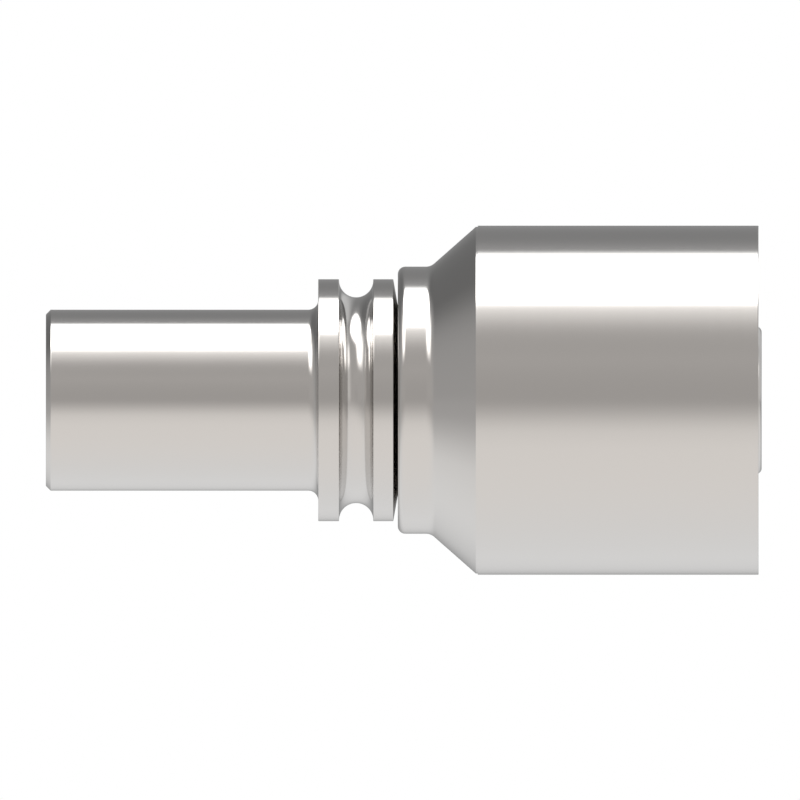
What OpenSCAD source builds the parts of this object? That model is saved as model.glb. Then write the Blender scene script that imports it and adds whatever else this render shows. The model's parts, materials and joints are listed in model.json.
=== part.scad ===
// Straight crimp hose fitting: a turned insert with a plain tube end and a barbed hose tail,
// locked inside an uncrimped shell. Millimetres. The axis is Z: the tail stands at z = 0 and
// the tube end points up. Both pieces are revolved, so each outline is drawn as radius and height.

/* [Tube end] */
// Outside diameter of the plain tube end
tube_d = 38; // [34:0.5:42]
// Wall of the tube end
tube_wall = 5; // [3:0.5:7]
// Length of the tube end, from its end face to the collar
tube_len = 57.2; // [40:0.1:80]
// Chamfer round the outside of the end face
tube_chamfer = 1; // [0.5:0.1:2]
// Fillet between the tube and the collar
root_fillet = 2.1; // [0.5:0.1:3]
// Depth of the tube's bore, from the end face to the taper
tube_bore_depth = 62; // [45:0.5:70]

/* [Collar] */
// Diameter of the collar's two lands
collar_d = 50.8; // [48:0.1:56]
// Width of the collar, from its front face to its back rim
collar_w = 15.75; // [12:0.05:24]
// Slope of the collar's back face, measured from square to the axis
collar_back_angle = 10; // [4:1:20]
// Outside diameter of the seat that the shell's front face rests on
seat_d = 40; // [38:0.5:44]
// Radius of the half-round groove's floor
groove_r = 3.6; // [2:0.1:4]
// Depth of the groove below the lands
groove_depth = 3.8; // [3.6:0.1:5]
// Distance of the groove's middle from the collar's front face
groove_pos = 7.95; // [5:0.05:9]

/* [Lock between shank and shell] */
// Diameter of the shank that carries the shell's neck
shank_d = 36; // [34:0.5:38]
// Depth of the locking groove in the shank
lock_depth = 1.8; // [1:0.1:2.5]
// Width of the locking groove at its floor
lock_w = 3.2; // [2:0.1:4]
// Slope of the groove's flanks, measured from square to the axis
lock_flank_angle = 25; // [10:1:40]
// Distance of the locking groove's middle from the seat
lock_pos = 6.4; // [5:0.1:8]
// Gap between the shank and the shell's neck, all round
neck_clearance = 0.15; // [0.05:0.05:0.3]

/* [Hose tail] */
// Diameter over the barbs
tail_d = 31; // [29:0.5:33]
// Bore of the hose tail
tail_bore_d = 24.5; // [20:0.5:26]
// Half angle of the taper between the two bores
bore_taper_angle = 15; // [8:1:30]
// Chamfer at both mouths of the bore
bore_chamfer = 0.8; // [0.3:0.1:1]
// Radius of the rounded nose
nose_r = 1.2; // [0.5:0.1:1.4]
// Length of the plain nose, before the first barb
nose_len = 3.4; // [2:0.1:6]
// How far the tail stands out of the shell's mouth
tail_stickout = 0.65; // [0:0.05:3]
// Distance from one barb to the next
barb_pitch = 7; // [5:0.5:10]
// Height of a barb over the valley behind it
barb_depth = 0.9; // [0.4:0.1:1.2]
// Flat on top of a barb
barb_land = 0.8; // [0.4:0.1:1.5]
// Length of a barb's steep side
barb_back = 0.4; // [0.2:0.1:1]

/* [Crimp shell] */
// Outside diameter of the shell
shell_d = 73.3; // [68:0.1:80]
// Length of the shell
shell_len = 75.75; // [60:0.05:95]
// Solid front wall, from the seat to the floor of the hose socket
front_wall = 14.8; // [12:0.1:18]
// Diameter of the neck
neck_d = 56.1; // [52:0.1:60]
// Length of the neck, from the front face to the start of the cone
neck_len = 6.9; // [5:0.1:9]
// Round on the neck's front corner
neck_corner_r = 1.6; // [0.5:0.1:2]
// Fillet between the neck and the cone
neck_fillet_r = 2.6; // [1:0.1:4]
// Slope of the cone, measured from the axis
cone_angle = 41.4; // [35:0.1:50]
// Height of the small step behind the cone
step_h = 0.24; // [0.1:0.02:0.6]
// Radius that the turning tool leaves at the foot of the step
step_r = 0.8; // [0.6:0.1:1.2]

/* [Hose socket] */
// Diameter inside the shell's teeth
socket_d = 53; // [50:0.5:56]
// Height of a tooth
tooth_h = 2.2; // [1:0.1:3]
// Distance from one tooth to the next
tooth_pitch = 7.4; // [6:0.2:10]
// Flat on top of a tooth
tooth_land = 1.4; // [0.8:0.1:2]
// Length of a tooth's sloping side, towards the mouth
tooth_ramp = 2.6; // [1.5:0.1:3]
// Length of a tooth's steep side, towards the floor
tooth_back = 0.6; // [0.3:0.1:1]
// Plain length inside the mouth, before the first tooth
mouth_len = 5; // [2:0.5:8]
// Chamfer inside the mouth
mouth_chamfer = 1.2; // [0.5:0.1:2]
// Fillet round the floor of the socket
floor_fillet = 1.8; // [0.5:0.1:3]

/* [Hidden] */
$fn = 144;
steel = [0.80, 0.79, 0.77];
shell_steel = [0.76, 0.75, 0.73];
// Cutting shapes run this far past the face that they cut
over = 1;
// Rounds are drawn this much larger than their reach, so that each meets its sides in one clean edge
bite = 0.0003;

tube_r = tube_d / 2;
tube_bore_r = tube_r - tube_wall;
collar_r = collar_d / 2;
seat_r = seat_d / 2;
shank_r = shank_d / 2;
lock_floor_r = shank_r - lock_depth;
tail_r = tail_d / 2;
valley_r = tail_r - barb_depth;
tail_bore_r = tail_bore_d / 2;
shell_r = shell_d / 2;
neck_r = neck_d / 2;
neck_bore_r = shank_r + neck_clearance;
socket_r = socket_d / 2;
root_r = socket_r + tooth_h;

// Heights, from the tail's end face up
mouth_z = tail_stickout;
seat_z = mouth_z + shell_len;
rim_z = seat_z + (collar_r - seat_r) * tan(collar_back_angle);
collar_z = rim_z + collar_w;
groove_z = collar_z - groove_pos;
end_z = collar_z + tube_len;
floor_z = seat_z - front_wall;
lock_z = seat_z - lock_pos;
cone_z = seat_z - neck_len;
cone_end_z = cone_z - (shell_r - step_h - neck_r) / tan(cone_angle);
step_len = sqrt(pow(step_r, 2) - pow(step_r - step_h, 2));
tube_bore_z = end_z - tube_bore_depth;
taper_z = tube_bore_z - abs(tube_bore_r - tail_bore_r) / tan(bore_taper_angle);

// Barbs and teeth fill the room between the mouth and the floor of the socket
barb_count = floor((floor_z - nose_len) / barb_pitch);
tooth_count = floor((floor_z - floor_fillet - mouth_z - mouth_len) / tooth_pitch);

// One barb: it rises towards the collar and drops steeply behind its land
function barb_points(z) = [
    [valley_r, z],
    [tail_r, z + barb_pitch - barb_land - barb_back],
    [tail_r, z + barb_pitch - barb_back]
];

// One tooth in the socket's wall, which slopes the same way as the barbs
function tooth_points(z) = [
    [root_r, z],
    [socket_r, z + tooth_ramp],
    [socket_r, z + tooth_ramp + tooth_land],
    [root_r, z + tooth_ramp + tooth_land + tooth_back]
];

// The web between a square corner and the round of radius r that touches both its sides.
// Taken away it rounds an outer corner, and added it fills an inner one. side points from the
// corner to the round's centre.
module corner_web(corner, r, side) {
    difference() {
        translate(corner + side * (r - over) / 2)
            square(r + over, center = true);
        translate(corner + side * r)
            circle(r + bite);
    }
}

// A ring shape with sloping flanks, as wide as lock_w at its inner radius
module lock_ring(inner_r, outer_r, half_w) {
    flare = (outer_r - inner_r) * tan(lock_flank_angle);
    polygon([
        [inner_r, lock_z - half_w],
        [outer_r, lock_z - half_w - flare],
        [outer_r, lock_z + half_w + flare],
        [inner_r, lock_z + half_w]
    ]);
}

module tail_outline() {
    first_barb_z = nose_len + barb_back;
    difference() {
        polygon(concat(
            [[0, 0], [tail_r, 0], [tail_r, nose_len]],
            [for (i = [0 : barb_count - 1]) each barb_points(first_barb_z + i * barb_pitch)],
            [[valley_r, first_barb_z + barb_count * barb_pitch], [valley_r, seat_z], [0, seat_z]]
        ));
        corner_web([tail_r, 0], nose_r, [-1, 1]);
    }
}

module shank_outline() {
    lead = shank_r - valley_r;
    difference() {
        polygon([
            [0, floor_z - over],
            [valley_r, floor_z],
            [shank_r, floor_z + lead],
            [shank_r, seat_z + over],
            [0, seat_z + over]
        ]);
        lock_ring(lock_floor_r, shank_r + over, lock_w / 2);
    }
}

module collar_outline() {
    difference() {
        polygon([
            [0, seat_z],
            [seat_r, seat_z],
            [collar_r, rim_z],
            [collar_r, collar_z],
            [0, collar_z]
        ]);
        translate([collar_r - groove_depth + groove_r, groove_z]) {
            circle(groove_r);
            translate([0, -groove_r])
                square([groove_depth + over, 2 * groove_r]);
        }
    }
}

module tube_outline() {
    polygon([
        [0, collar_z - over],
        [tube_r, collar_z - over],
        [tube_r, end_z - tube_chamfer],
        [tube_r - tube_chamfer, end_z],
        [0, end_z]
    ]);
    corner_web([tube_r, collar_z], root_fillet, [1, 1]);
}

module bore_outline() {
    polygon([
        [-over, -over],
        [tail_bore_r + bore_chamfer + over, -over],
        [tail_bore_r, bore_chamfer],
        [tail_bore_r, taper_z],
        [tube_bore_r, tube_bore_z],
        [tube_bore_r, end_z - bore_chamfer],
        [tube_bore_r + bore_chamfer + over, end_z + over],
        [-over, end_z + over]
    ]);
}

module hose_insert() {
    color(steel)
        rotate_extrude()
            difference() {
                union() {
                    tail_outline();
                    shank_outline();
                    collar_outline();
                    tube_outline();
                }
                bore_outline();
            }
}

module neck_fillet() {
    // The circle touches the neck and the cone at the same distance from their corner
    reach = neck_fillet_r * tan(cone_angle / 2);
    centre = [neck_r + neck_fillet_r, cone_z + reach];
    difference() {
        polygon([
            centre,
            [neck_r, cone_z + reach],
            [neck_r - over, cone_z],
            [neck_r + reach * sin(cone_angle), cone_z - reach * cos(cone_angle)]
        ]);
        translate(centre)
            circle(neck_fillet_r + bite);
    }
}

module shell_outline() {
    difference() {
        polygon([
            [0, mouth_z],
            [shell_r, mouth_z],
            [shell_r, cone_end_z - step_len],
            [shell_r - step_h, cone_end_z],
            [neck_r, cone_z],
            [neck_r, seat_z],
            [0, seat_z]
        ]);
        corner_web([neck_r, seat_z], neck_corner_r, [-1, -1]);
        translate([shell_r - step_h + step_r, cone_end_z])
            circle(step_r + bite);
    }
    neck_fillet();
}

module socket_outline() {
    first_tooth_z = mouth_z + mouth_len;
    difference() {
        polygon(concat(
            [[-over, mouth_z - over], [root_r + mouth_chamfer + over, mouth_z - over],
             [root_r, mouth_z + mouth_chamfer]],
            [for (i = [0 : tooth_count - 1]) each tooth_points(first_tooth_z + i * tooth_pitch)],
            [[root_r, floor_z], [-over, floor_z]]
        ));
        corner_web([root_r, floor_z], floor_fillet, [-1, -1]);
    }
}

// The neck's bore follows the shank, and its staked lip follows the locking groove
module neck_bore_outline() {
    lip_half_w = lock_w / 2 - neck_clearance * (1 - sin(lock_flank_angle)) / cos(lock_flank_angle);
    difference() {
        translate([-over, floor_z - over])
            square([neck_bore_r + over, front_wall + 2 * over]);
        lock_ring(lock_floor_r + neck_clearance, neck_bore_r + over, lip_half_w);
    }
}

module crimp_shell() {
    color(shell_steel)
        rotate_extrude()
            difference() {
                shell_outline();
                socket_outline();
                neck_bore_outline();
            }
}

hose_insert();
crimp_shell();
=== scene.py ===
import json
import math

import bmesh
import bpy
from mathutils import Matrix, Vector


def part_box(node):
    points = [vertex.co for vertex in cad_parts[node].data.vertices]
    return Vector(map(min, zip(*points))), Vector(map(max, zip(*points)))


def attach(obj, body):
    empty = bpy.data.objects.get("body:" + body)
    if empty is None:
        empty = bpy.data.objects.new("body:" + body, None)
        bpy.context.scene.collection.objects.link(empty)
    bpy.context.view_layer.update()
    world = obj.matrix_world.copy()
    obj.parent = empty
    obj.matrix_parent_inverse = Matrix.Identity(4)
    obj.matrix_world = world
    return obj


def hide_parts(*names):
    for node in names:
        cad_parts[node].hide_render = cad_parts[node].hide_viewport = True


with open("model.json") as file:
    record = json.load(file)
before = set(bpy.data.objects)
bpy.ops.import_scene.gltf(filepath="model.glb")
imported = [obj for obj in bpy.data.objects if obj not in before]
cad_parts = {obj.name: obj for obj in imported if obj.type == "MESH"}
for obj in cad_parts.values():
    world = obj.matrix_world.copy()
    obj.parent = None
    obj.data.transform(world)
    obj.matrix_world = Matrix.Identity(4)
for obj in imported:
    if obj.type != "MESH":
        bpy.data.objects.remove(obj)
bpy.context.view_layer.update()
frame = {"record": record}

# Straight crimp hose fitting: two turned pieces on one axis, Z, with the hose end down.
# Sizes are in millimetres until a mesh is finished, and what the frame knows is read from it.
mm = 0.001
mounts = {mount["name"]: mount for mount in frame["record"]["mounts"]}


def mountRadius(name):
    return mounts[name]["dims"]["r_mm"]


def mountMiddle(name):
    return mounts[name]["pos_m"][2] / mm


def mountTop(name):
    return mountMiddle(name) + mounts[name]["dims"]["length_mm"] / 2


def mountBottom(name):
    return mountMiddle(name) - mounts[name]["dims"]["length_mm"] / 2


def boxSizes(node):
    low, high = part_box(node)
    return high.x / mm, low.z / mm, high.z / mm  # outer radius, bottom, top


def objectFrom(shape, name):
    mesh = bpy.data.meshes.new(name)
    shape.to_mesh(mesh)
    shape.free()
    made = bpy.data.objects.new(name, mesh)
    bpy.context.scene.collection.objects.link(made)
    return made


# How finely the outlines and the turns are divided
lathe = {
    "turnSteps": 256,       # faces round each piece
    "roundStep": 6.5,       # degrees of a round for each edge
    "breakSegments": 3,     # edges across a broken corner
    "breakRadius": 0.3,     # rounds below this are broken corners
    "mergeWithin": 0.0005,  # corners nearer than this are one corner
    "holdWidth": 0.12,      # faces this wide beside each round keep the long walls true
    "holdFrom": 5,          # an edge of fewer such widths is left whole
    "sharpAngle": 35,       # degrees, above this an edge stays crisp
}


def roundCorner(outline, corner, radius):
    neighbours = [edge.other_vert(corner) for edge in corner.link_edges]
    toBefore, toAfter = [(vert.co - corner.co).normalized() for vert in neighbours]
    turn = math.pi - toBefore.angle(toAfter)
    middle = (toBefore + toAfter).normalized()
    centre = corner.co + middle * radius / math.cos(turn / 2)
    segments = max(lathe["breakSegments"], round(math.degrees(turn) / lathe["roundStep"]))
    if radius < lathe["breakRadius"]:
        segments = lathe["breakSegments"]
    arc = bmesh.ops.bevel(
        outline, geom=[corner], offset=radius * math.tan(turn / 2), offset_type="OFFSET",
        segments=segments, profile=0.5, affect="VERTICES", clamp_overlap=False, material=-1,
    )
    for vert in arc["verts"]:
        vert.co = centre + (vert.co - centre).normalized() * radius  # a true arc, not an oval


def holdLongEdges(outline):
    width = lathe["holdWidth"]
    for edge in list(outline.edges):
        length = edge.calc_length()
        if length < lathe["holdFrom"] * width:
            continue
        start = edge.verts[0]
        held = bmesh.utils.edge_split(edge, start, width / length)[1]
        rest = next(e for e in held.link_edges if e.other_vert(held) is not start)
        bmesh.utils.edge_split(rest, held, 1 - width / rest.calc_length())


def turnedPiece(name, corners):
    # corners run once round half the section, as radius, height and round
    outline = bmesh.new()
    verts = [outline.verts.new((radius, 0, height)) for radius, height, _ in corners]
    for here, there in zip(verts, verts[1:] + verts[:1]):
        outline.edges.new((here, there))
    for vert, (_, _, radius) in zip(verts, corners):
        if radius > 0:
            roundCorner(outline, vert, radius)
    bmesh.ops.remove_doubles(outline, verts=outline.verts, dist=lathe["mergeWithin"])
    holdLongEdges(outline)
    bmesh.ops.spin(
        outline, geom=outline.verts[:] + outline.edges[:], cent=(0, 0, 0), axis=(0, 0, 1),
        angle=2 * math.pi, steps=lathe["turnSteps"], use_merge=True, use_duplicate=False,
    )
    bmesh.ops.remove_doubles(outline, verts=outline.verts, dist=lathe["mergeWithin"])
    bmesh.ops.recalc_face_normals(outline, faces=outline.faces)
    for face in outline.faces:
        face.smooth = True
    for edge in outline.edges:
        edge.smooth = edge.calc_face_angle(0) < math.radians(lathe["sharpAngle"])
    bmesh.ops.scale(outline, vec=(mm, mm, mm), verts=outline.verts)
    return objectFrom(outline, name)


# The shank that the shell is staked onto: its lip lies in the shank's groove with a gap all round
stakedFit = {
    "shankRadius": 18.0,
    "shankLength": 14.8,     # from the seat to the lead-in and to the socket's floor
    "lockDepth": 1.8,
    "lockHalfWidth": 1.6,    # at the groove's floor
    "lockBelowSeat": 6.4,
    "lockFlank": 25,         # degrees from square
    "gap": 0.15,
}

# The insert: tube end, grooved collar, shank with its locking groove, barbed tail
insertSizes = {
    "endChamfer": 1.0,
    "rootFillet": 2.1,
    "collarWidth": 15.75,
    "backSlope": 10,         # degrees from square
    "seatRadius": 20.0,
    "grooveRadius": 3.6,
    "grooveDepth": 3.8,
    "shankLead": 3.4,
    "tailRadius": 15.5,
    "noseRound": 1.2,
    "noseLength": 3.4,
    "barbCount": 8,
    "barbPitch": 7.0,
    "barbDepth": 0.9,
    "barbLand": 0.8,
    "barbBack": 0.4,
    "boreChamfer": 0.8,
    "edgeBreak": 0.1,
}


def insertCorners(size, fit, seat):
    collarRadius, bottom, top = boxSizes("hose_insert")
    tubeRadius = mountRadius("tube_end")
    boreRadius, tailBore = mountRadius("tube_bore"), mountRadius("tail_bore")
    edge, chamfer, boreEdge = size["edgeBreak"], size["endChamfer"], size["boreChamfer"]
    rim = seat + (collarRadius - size["seatRadius"]) * math.tan(math.radians(size["backSlope"]))
    collarTop = rim + size["collarWidth"]
    groove, half = mountMiddle("collar_groove"), size["grooveRadius"]
    grooveFloor = collarRadius - size["grooveDepth"]
    shank, leadStart = fit["shankRadius"], seat - fit["shankLength"]
    lock, lockHalf = seat - fit["lockBelowSeat"], fit["lockHalfWidth"]
    lockFloor = shank - fit["lockDepth"]
    flare = fit["lockDepth"] * math.tan(math.radians(fit["lockFlank"]))
    tail, valley = size["tailRadius"], size["tailRadius"] - size["barbDepth"]
    firstBarb = bottom + size["noseLength"] + size["barbBack"]
    barbs = []
    for number in range(size["barbCount"]):
        foot = firstBarb + number * size["barbPitch"]
        crestEnd = foot + size["barbPitch"] - size["barbBack"]
        barbs += [(valley, foot, 0), (tail, crestEnd - size["barbLand"], 0), (tail, crestEnd, 0)]
    return [
        (tailBore + boreEdge, bottom, edge),
        (tail, bottom, size["noseRound"]),
        (tail, bottom + size["noseLength"], edge),
        *barbs,
        (valley, firstBarb + size["barbCount"] * size["barbPitch"], 0),
        (valley, leadStart, 0),
        (shank, leadStart + size["shankLead"], 0),
        (shank, lock - lockHalf - flare, 0),
        (lockFloor, lock - lockHalf, 0),
        (lockFloor, lock + lockHalf, 0),
        (shank, lock + lockHalf + flare, 0),
        (shank, seat, 0),
        (size["seatRadius"], seat, edge),
        (collarRadius, rim, edge),
        (collarRadius, groove - half, edge),
        (grooveFloor, groove - half, half),
        (grooveFloor, groove + half, half),
        (collarRadius, groove + half, edge),
        (collarRadius, collarTop, edge),
        (tubeRadius, collarTop, size["rootFillet"]),
        (tubeRadius, top - chamfer, edge),
        (tubeRadius - chamfer, top, edge),
        (boreRadius + boreEdge, top, edge),
        (boreRadius, top - boreEdge, edge),
        (boreRadius, mountBottom("tube_bore"), 0),
        (tailBore, mountTop("tail_bore"), 0),
        (tailBore, bottom + boreEdge, edge),
    ]


# The shell: neck with its staked lip, cone, plain outside, and the toothed socket for the hose
shellSizes = {
    "neckRadius": 28.05,
    "neckLength": 6.9,
    "neckRound": 1.6,
    "neckFillet": 2.6,
    "coneAngle": 41.4,       # degrees from the axis
    "stepHeight": 0.24,
    "stepLand": 0.41,        # a narrow land between the cone and the step
    "rootRadius": 28.7,
    "crestRadius": 26.5,
    "mouthLength": 5.0,
    "mouthChamfer": 1.2,
    "floorFillet": 1.8,
    "toothCount": 7,
    "toothPitch": 7.4,
    "toothRamp": 2.6,
    "toothLand": 1.4,
    "toothBack": 0.6,
    "edgeBreak": 0.1,
}


def shellCorners(size, fit, seat):
    outer, mouth, _ = boxSizes("crimp_shell")
    edge, neck = size["edgeBreak"], size["neckRadius"]
    root, crest = size["rootRadius"], size["crestRadius"]
    bore = fit["shankRadius"] + fit["gap"]
    lip = bore - fit["lockDepth"]
    lipMiddle, flank = seat - fit["lockBelowSeat"], math.radians(fit["lockFlank"])
    lipHalf = fit["lockHalfWidth"] + fit["gap"] * (math.tan(flank) - 1 / math.cos(flank))
    flare = (bore - lip) * math.tan(flank)
    socketFloor = seat - fit["shankLength"]
    coneTop = seat - size["neckLength"]
    turned = outer - size["stepHeight"]
    coneEnd = coneTop - (turned - neck) / math.tan(math.radians(size["coneAngle"]))
    stepFoot = coneEnd - size["stepLand"]
    teeth = []
    for number in range(size["toothCount"]):
        foot = mouth + size["mouthLength"] + number * size["toothPitch"]
        land = foot + size["toothRamp"]
        back = land + size["toothLand"]
        end = back + size["toothBack"]
        teeth += [(root, foot, 0), (crest, land, 0), (crest, back, 0), (root, end, 0)]
    return [
        (root + size["mouthChamfer"], mouth, edge),
        (outer, mouth, edge),
        (outer, stepFoot, 0),
        (turned, stepFoot, 0),
        (turned, coneEnd, 0),
        (neck, coneTop, size["neckFillet"]),
        (neck, seat, size["neckRound"]),
        (bore, seat, edge),
        (bore, lipMiddle + lipHalf + flare, 0),
        (lip, lipMiddle + lipHalf, 0),
        (lip, lipMiddle - lipHalf, 0),
        (bore, lipMiddle - lipHalf - flare, 0),
        (bore, socketFloor, 0),
        (root, socketFloor, size["floorFillet"]),
        *reversed(teeth),
        (root, mouth + size["mouthChamfer"], 0),
    ]


def addNode(tree, kind, **settings):
    node = tree.nodes.new(kind)
    for key, value in settings.items():
        setattr(node, key, value)
    return node


def link(tree, source, target):
    tree.links.new(source, target)


def feed(tree, sockets, values):
    # a number is set on its socket, and another node's output is linked to it
    for socket, value in zip(sockets, values):
        if isinstance(value, (int, float)):
            socket.default_value = value
        else:
            link(tree, value, socket)


def mathNode(tree, operation, first, second=0.0, third=0.0, clamp=False):
    node = addNode(tree, "ShaderNodeMath", operation=operation, use_clamp=clamp)
    feed(tree, node.inputs, (first, second, third))
    return node.outputs[0]


def product(tree, first, *others):
    for other in others:
        first = mathNode(tree, "MULTIPLY", first, other)
    return first


def fade(tree, value, nothing, whole):
    # 0 at the first place, 1 at the second, and a soft change between them
    node = addNode(tree, "ShaderNodeMapRange", interpolation_type="SMOOTHSTEP")
    link(tree, value, node.inputs["Value"])
    node.inputs["From Min"].default_value = nothing
    node.inputs["From Max"].default_value = whole
    return node.outputs[0]


def blend(tree, share, first, second):
    node = addNode(tree, "ShaderNodeMix", data_type="FLOAT")
    feed(tree, [node.inputs[name] for name in ("Factor", "A", "B")], (share, first, second))
    return node.outputs["Result"]


def levelRamp(tree, source, points):
    # a grey level for each place, between the first place and the last
    low, high = points[0][0], points[-1][0]
    ramp = addNode(tree, "ShaderNodeValToRGB")
    stops = ramp.color_ramp.elements
    while len(stops) < len(points):
        stops.new(0.5)  # each stop gets its own place below
    for stop, (place, level) in zip(stops, points):
        stop.position = (place - low) / (high - low)
        stop.color = (level, level, level, 1)
    share = mathNode(tree, "MULTIPLY_ADD", source, 1 / (high - low), -low / (high - low))
    link(tree, share, ramp.inputs["Fac"])
    return ramp.outputs["Color"]


# Satin turned steel: bright, with the faintest of turning lines
steelLook = {
    "colour": (0.72, 0.71, 0.70),
    "roughness": 0.13,
    "roughnessSwing": 0.03,
    "lineSpacing": 0.25 * mm,
    "lineDetail": 1.0,
    "lineDepth": 0.0002 * mm,
    "cloudSize": 12 * mm,
    "cloudDetail": 2.0,
}


def steelMaterial(look):
    material = bpy.data.materials.new("turnedSteel")
    material.use_nodes = True
    tree = material.node_tree
    shader = tree.nodes["Principled BSDF"]
    shader.inputs["Base Color"].default_value = (*look["colour"], 1)
    shader.inputs["Metallic"].default_value = 1.0
    place = addNode(tree, "ShaderNodeTexCoord").outputs["Object"]
    parts = addNode(tree, "ShaderNodeSeparateXYZ")
    link(tree, place, parts.inputs[0])
    across = addNode(tree, "ShaderNodeCombineXYZ")
    flat = addNode(tree, "ShaderNodeVectorMath", operation="LENGTH")
    link(tree, parts.outputs["X"], across.inputs["X"])
    link(tree, parts.outputs["Y"], across.inputs["Y"])
    link(tree, across.outputs[0], flat.inputs[0])
    section = addNode(tree, "ShaderNodeCombineXYZ")  # distance from the axis, and height
    link(tree, flat.outputs["Value"], section.inputs["X"])
    link(tree, parts.outputs["Z"], section.inputs["Y"])
    lines = addNode(tree, "ShaderNodeTexNoise", noise_dimensions="2D")
    lines.inputs["Scale"].default_value = 1 / look["lineSpacing"]
    lines.inputs["Detail"].default_value = look["lineDetail"]
    link(tree, section.outputs[0], lines.inputs["Vector"])
    clouds = addNode(tree, "ShaderNodeTexNoise", noise_dimensions="3D")
    clouds.inputs["Scale"].default_value = 1 / look["cloudSize"]
    clouds.inputs["Detail"].default_value = look["cloudDetail"]
    link(tree, place, clouds.inputs["Vector"])
    mixed = mathNode(tree, "ADD", lines.outputs[0], clouds.outputs[0])
    swing = look["roughnessSwing"]
    rough = mathNode(tree, "MULTIPLY_ADD", mixed, swing, look["roughness"] - swing)
    link(tree, rough, shader.inputs["Roughness"])
    bump = addNode(tree, "ShaderNodeBump")
    bump.inputs["Strength"].default_value = 1.0
    bump.inputs["Distance"].default_value = look["lineDepth"]
    link(tree, lines.outputs[0], bump.inputs["Height"])
    link(tree, bump.outputs[0], shader.inputs["Normal"])
    return material


# The studio round the fitting, as its bright steel shows it. X is up in the photograph, -Y is
# towards the camera and Z runs along the fitting to the tube end. A turn goes round the fitting,
# in degrees: 0 at the camera, 90 overhead, 180 behind and below 0 on the floor's side. A lean
# is the angle towards Z. Levels are set against the white floor's, which is 1. A pair of places
# is where something begins and where it is whole.
studio = {
    "brightness": 0.825,
    "warmth": (1.045, 1.0, 0.958),   # of the light from the camera's side
    "warmFrom": (0.8, -1.0),
    "floor": [               # from straight below up to the horizon
        (-1.0, 1.02), (-0.53, 1.0), (-0.44, 0.97), (-0.34, 0.93),
        (-0.24, 0.81), (-0.14, 0.66), (-0.04, 0.54), (0.0, 0.52),
    ],
    "floorLean": 0.09,       # how far the floor's edge leans with Z
    "floorTurns": [          # and by turn, from behind round to the camera
        (-180, 0.68), (-164, 0.77), (-152, 0.91), (-140, 1.0), (-128, 1.04), (-90, 1.01), (0, 1.0),
    ],
    "horizon": 0.06,         # the floor turns into the wall this softly
    "above": [               # the wall, from the camera's side to the side behind
        (-1.0, 0.51), (-0.96, 0.53), (-0.9, 0.56), (-0.82, 0.54), (0.0, 0.53),
        (0.55, 0.4), (0.64, 0.345), (0.72, 0.32), (0.8, 0.315), (1.0, 0.31),
    ],
    "aboveEnds": [           # the same at the studio's two ends
        (-1.0, 0.54), (-0.5, 0.54), (-0.2, 0.49), (0.0, 0.455), (0.1, 0.41),
        (0.18, 0.35), (0.28, 0.26), (0.4, 0.205), (0.67, 0.21), (1.0, 0.24),
    ],
    "ends": (0.05, 0.4),     # from the middle of the studio to its two ends, along Z
    "footWall": 0.77,        # the wall that the hose end faces
    "footWallFrom": (-0.45, -0.8),
    "roofBox": {             # rise keeps it above the horizon, and lowest keeps it finite
        "level": 3.4, "middle": -0.02, "half": 0.41, "halfAhead": 0.42, "halfBack": 0.53,
        "power": 1.5, "edge": (1.35, 0.68), "lowest": 0.05, "rise": (0, 0.2),
    },
    "frontBox": {            # sides by turn, in degrees, and top and end by lean
        "level": 3.0, "front": (33, 56), "rear": (96, 66), "top": (50, 20),
        "end": (-5, 17), "endSlant": 0.28, "endTurn": 58,
    },
    "footBox": {
        "level": 0.95, "front": (41, 55), "rear": (86, 68), "top": (-37, -42),
        "end": (-58, -52), "endSlant": 0.0, "endTurn": 0,
    },
    "wallCorner": {
        "slant": 0.42, "from": (-0.34, -0.72), "behind": (0.1, 0.4), "over": (0.06, 0.28),
    },
}


def roofBox(tree, x, y, z, box):
    # a rounded softbox overhead, seen from the fitting as if on a flat ceiling
    up = mathNode(tree, "MAXIMUM", x, box["lowest"])
    across = mathNode(tree, "MULTIPLY_ADD", mathNode(tree, "DIVIDE", y, up), -1.0, -box["middle"])
    across = mathNode(tree, "ABSOLUTE", mathNode(tree, "DIVIDE", across, box["half"]))
    along = mathNode(tree, "DIVIDE", z, up)
    ahead = mathNode(tree, "DIVIDE", along, box["halfAhead"])
    back = mathNode(tree, "DIVIDE", along, -box["halfBack"])
    along = mathNode(tree, "POWER", mathNode(tree, "MAXIMUM", ahead, back), box["power"])
    reach = mathNode(tree, "ADD", mathNode(tree, "POWER", across, box["power"]), along)
    shape = product(tree, fade(tree, reach, *box["edge"]), fade(tree, x, *box["rise"]))
    return product(tree, shape, box["level"])


def frontBox(tree, turn, lean, box):
    # a softbox over the camera, towards one end of the studio; that end may slant with the turn
    slant = mathNode(tree, "MULTIPLY_ADD", turn, box["endSlant"], -box["endSlant"] * box["endTurn"])
    end = fade(tree, mathNode(tree, "ADD", lean, slant), *box["end"])
    sides = product(tree, fade(tree, turn, *box["front"]), fade(tree, turn, *box["rear"]))
    return product(tree, sides, fade(tree, lean, *box["top"]), end, box["level"])


def wallCorner(tree, x, y, z, corner):
    # the wall that the hose end faces begins sooner behind the fitting and above it
    place = fade(tree, mathNode(tree, "MULTIPLY_ADD", y, -corner["slant"], z), *corner["from"])
    return product(tree, place, fade(tree, y, *corner["behind"]), fade(tree, x, *corner["over"]))


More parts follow.
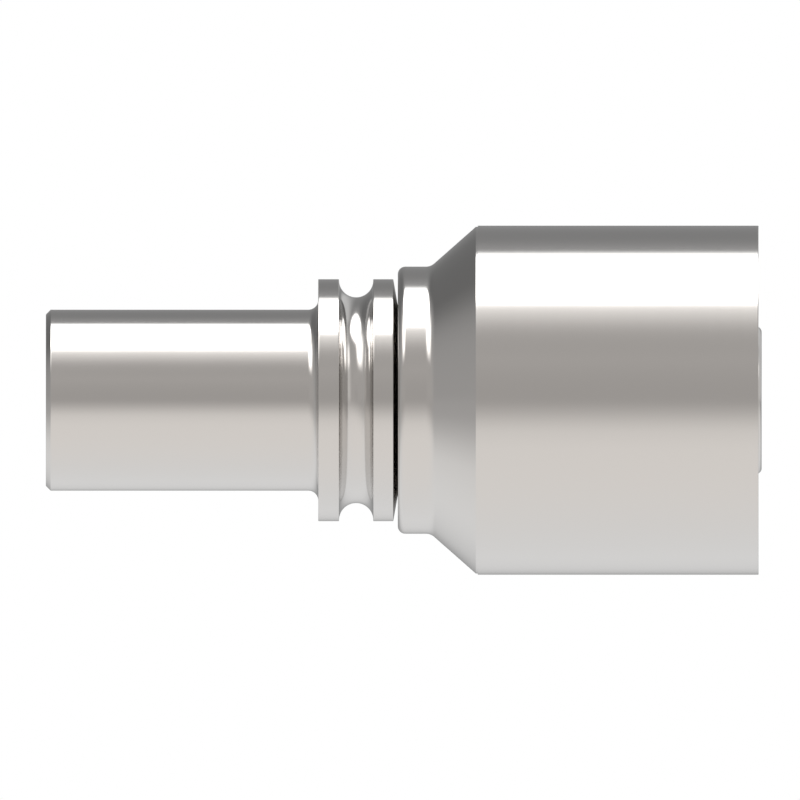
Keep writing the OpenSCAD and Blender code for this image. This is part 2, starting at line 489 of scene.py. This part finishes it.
def studioWorld(levels):
    world = bpy.data.worlds.new("studio")
    bpy.context.scene.world = world
    world.use_nodes = True
    tree = world.node_tree
    tree.nodes.clear()
    way = addNode(tree, "ShaderNodeSeparateXYZ")
    link(tree, addNode(tree, "ShaderNodeTexCoord").outputs["Generated"], way.inputs[0])
    x, y, z = way.outputs
    degrees = 180 / math.pi
    turn = mathNode(tree, "ARCTAN2", x, mathNode(tree, "MULTIPLY", y, -1.0))
    turn = mathNode(tree, "MULTIPLY", turn, degrees)
    lean = mathNode(tree, "MULTIPLY", mathNode(tree, "ARCSINE", z), degrees)
    floorPlace = mathNode(tree, "MULTIPLY_ADD", z, levels["floorLean"], x)
    below = levelRamp(tree, floorPlace, levels["floor"])
    below = product(tree, below, levelRamp(tree, turn, levels["floorTurns"]))
    ends = fade(tree, mathNode(tree, "ABSOLUTE", z), *levels["ends"])
    above = levelRamp(tree, y, levels["above"])
    above = blend(tree, ends, above, levelRamp(tree, y, levels["aboveEnds"]))
    corner = wallCorner(tree, x, y, z, levels["wallCorner"])
    footWall = mathNode(tree, "MAXIMUM", fade(tree, z, *levels["footWallFrom"]), corner)
    above = blend(tree, footWall, above, levels["footWall"])
    base = blend(tree, fade(tree, x, -levels["horizon"], levels["horizon"]), below, above)
    light = mathNode(tree, "ADD", base, roofBox(tree, x, y, z, levels["roofBox"]))
    for box in ("frontBox", "footBox"):
        light = mathNode(tree, "ADD", light, frontBox(tree, turn, lean, levels[box]))
    rays = addNode(tree, "ShaderNodeLightPath").outputs
    seen = mathNode(tree, "ADD", rays["Is Camera Ray"], rays["Is Transmission Ray"], clamp=True)
    unseen = mathNode(tree, "SUBTRACT", 1.0, seen)
    tint = addNode(tree, "ShaderNodeMix", data_type="RGBA")
    link(tree, product(tree, fade(tree, y, *levels["warmFrom"]), unseen), tint.inputs["Factor"])
    tint.inputs["A"].default_value = (1, 1, 1, 1)
    tint.inputs["B"].default_value = (*levels["warmth"], 1)
    strength = blend(tree, seen, product(tree, light, levels["brightness"]), 1.0)
    background = addNode(tree, "ShaderNodeBackground")
    link(tree, tint.outputs["Result"], background.inputs["Color"])
    link(tree, strength, background.inputs["Strength"])
    output = addNode(tree, "ShaderNodeOutputWorld")
    link(tree, background.outputs[0], output.inputs["Surface"])


# The pale floor that the fitting stands on
floorLook = {
    "halfSize": 2.0,
    "colour": (0.9, 0.9, 0.9),
    "lift": 0.45,            # added for the camera alone, so that the floor shows as white
}


def paleFloor(look):
    grid = bmesh.new()
    bmesh.ops.create_grid(grid, x_segments=1, y_segments=1, size=look["halfSize"])
    floor = objectFrom(grid, "floor")
    material = bpy.data.materials.new("paleFloor")
    material.use_nodes = True
    tree = material.node_tree
    tree.nodes.clear()
    matt = addNode(tree, "ShaderNodeBsdfDiffuse")
    matt.inputs["Color"].default_value = (*look["colour"], 1)
    lift = addNode(tree, "ShaderNodeEmission")
    rays = addNode(tree, "ShaderNodeLightPath").outputs
    link(tree, product(tree, rays["Is Camera Ray"], look["lift"]), lift.inputs["Strength"])
    both = addNode(tree, "ShaderNodeAddShader")
    link(tree, matt.outputs[0], both.inputs[0])
    link(tree, lift.outputs[0], both.inputs[1])
    output = addNode(tree, "ShaderNodeOutputMaterial")
    link(tree, both.outputs[0], output.inputs["Surface"])
    floor.data.materials.append(material)
    floor.visible_glossy = False  # the steel shows the studio's floor instead


# The photograph has no perspective and shows the fitting lying level, tube end to the left
cameraView = {
    "frameWidth": 168.0,     # the fitting, seen from a corner above, is nearly as high as this
    "middleHeight": 75.94,   # the picture's middle, along the fitting
    "middleAbove": 0.04,     # and across it
    "distance": 600.0,
    "seesTo": 10000.0,
}


def photoCamera(view):
    data = bpy.data.cameras.new("camera")
    data.type = "ORTHO"
    data.ortho_scale = view["frameWidth"] * mm
    data.clip_end = view["seesTo"] * mm
    camera = bpy.data.objects.new("camera", data)
    bpy.context.scene.collection.objects.link(camera)
    right, up, back = Vector((0, 0, -1)), Vector((1, 0, 0)), Vector((0, -1, 0))
    turned = Matrix((right, up, back)).transposed().to_4x4()
    middle = Vector((view["middleAbove"], -view["distance"], view["middleHeight"])) * mm
    camera.matrix_world = Matrix.Translation(middle) @ turned
    bpy.context.scene.camera = camera


lightBounces = 32  # light goes to and fro in the groove and in the gap beside the collar
bpy.context.scene.view_settings.view_transform = "Standard"
bpy.context.scene.cycles.glossy_bounces = lightBounces
bpy.context.scene.cycles.max_bounces = lightBounces
photoCamera(cameraView)
studioWorld(studio)
paleFloor(floorLook)
print("studio, floor and camera set")

steel = steelMaterial(steelLook)
seatHeight = boxSizes("crimp_shell")[2]
pieces = {
    "hose_insert": turnedPiece("hoseInsert", insertCorners(insertSizes, stakedFit, seatHeight)),
    "crimp_shell": turnedPiece("crimpShell", shellCorners(shellSizes, stakedFit, seatHeight)),
}
for node, piece in pieces.items():
    piece.data.materials.append(steel)
    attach(piece, "root")
    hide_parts(node)
    print("turned", piece.name, len(piece.data.polygons), "faces")
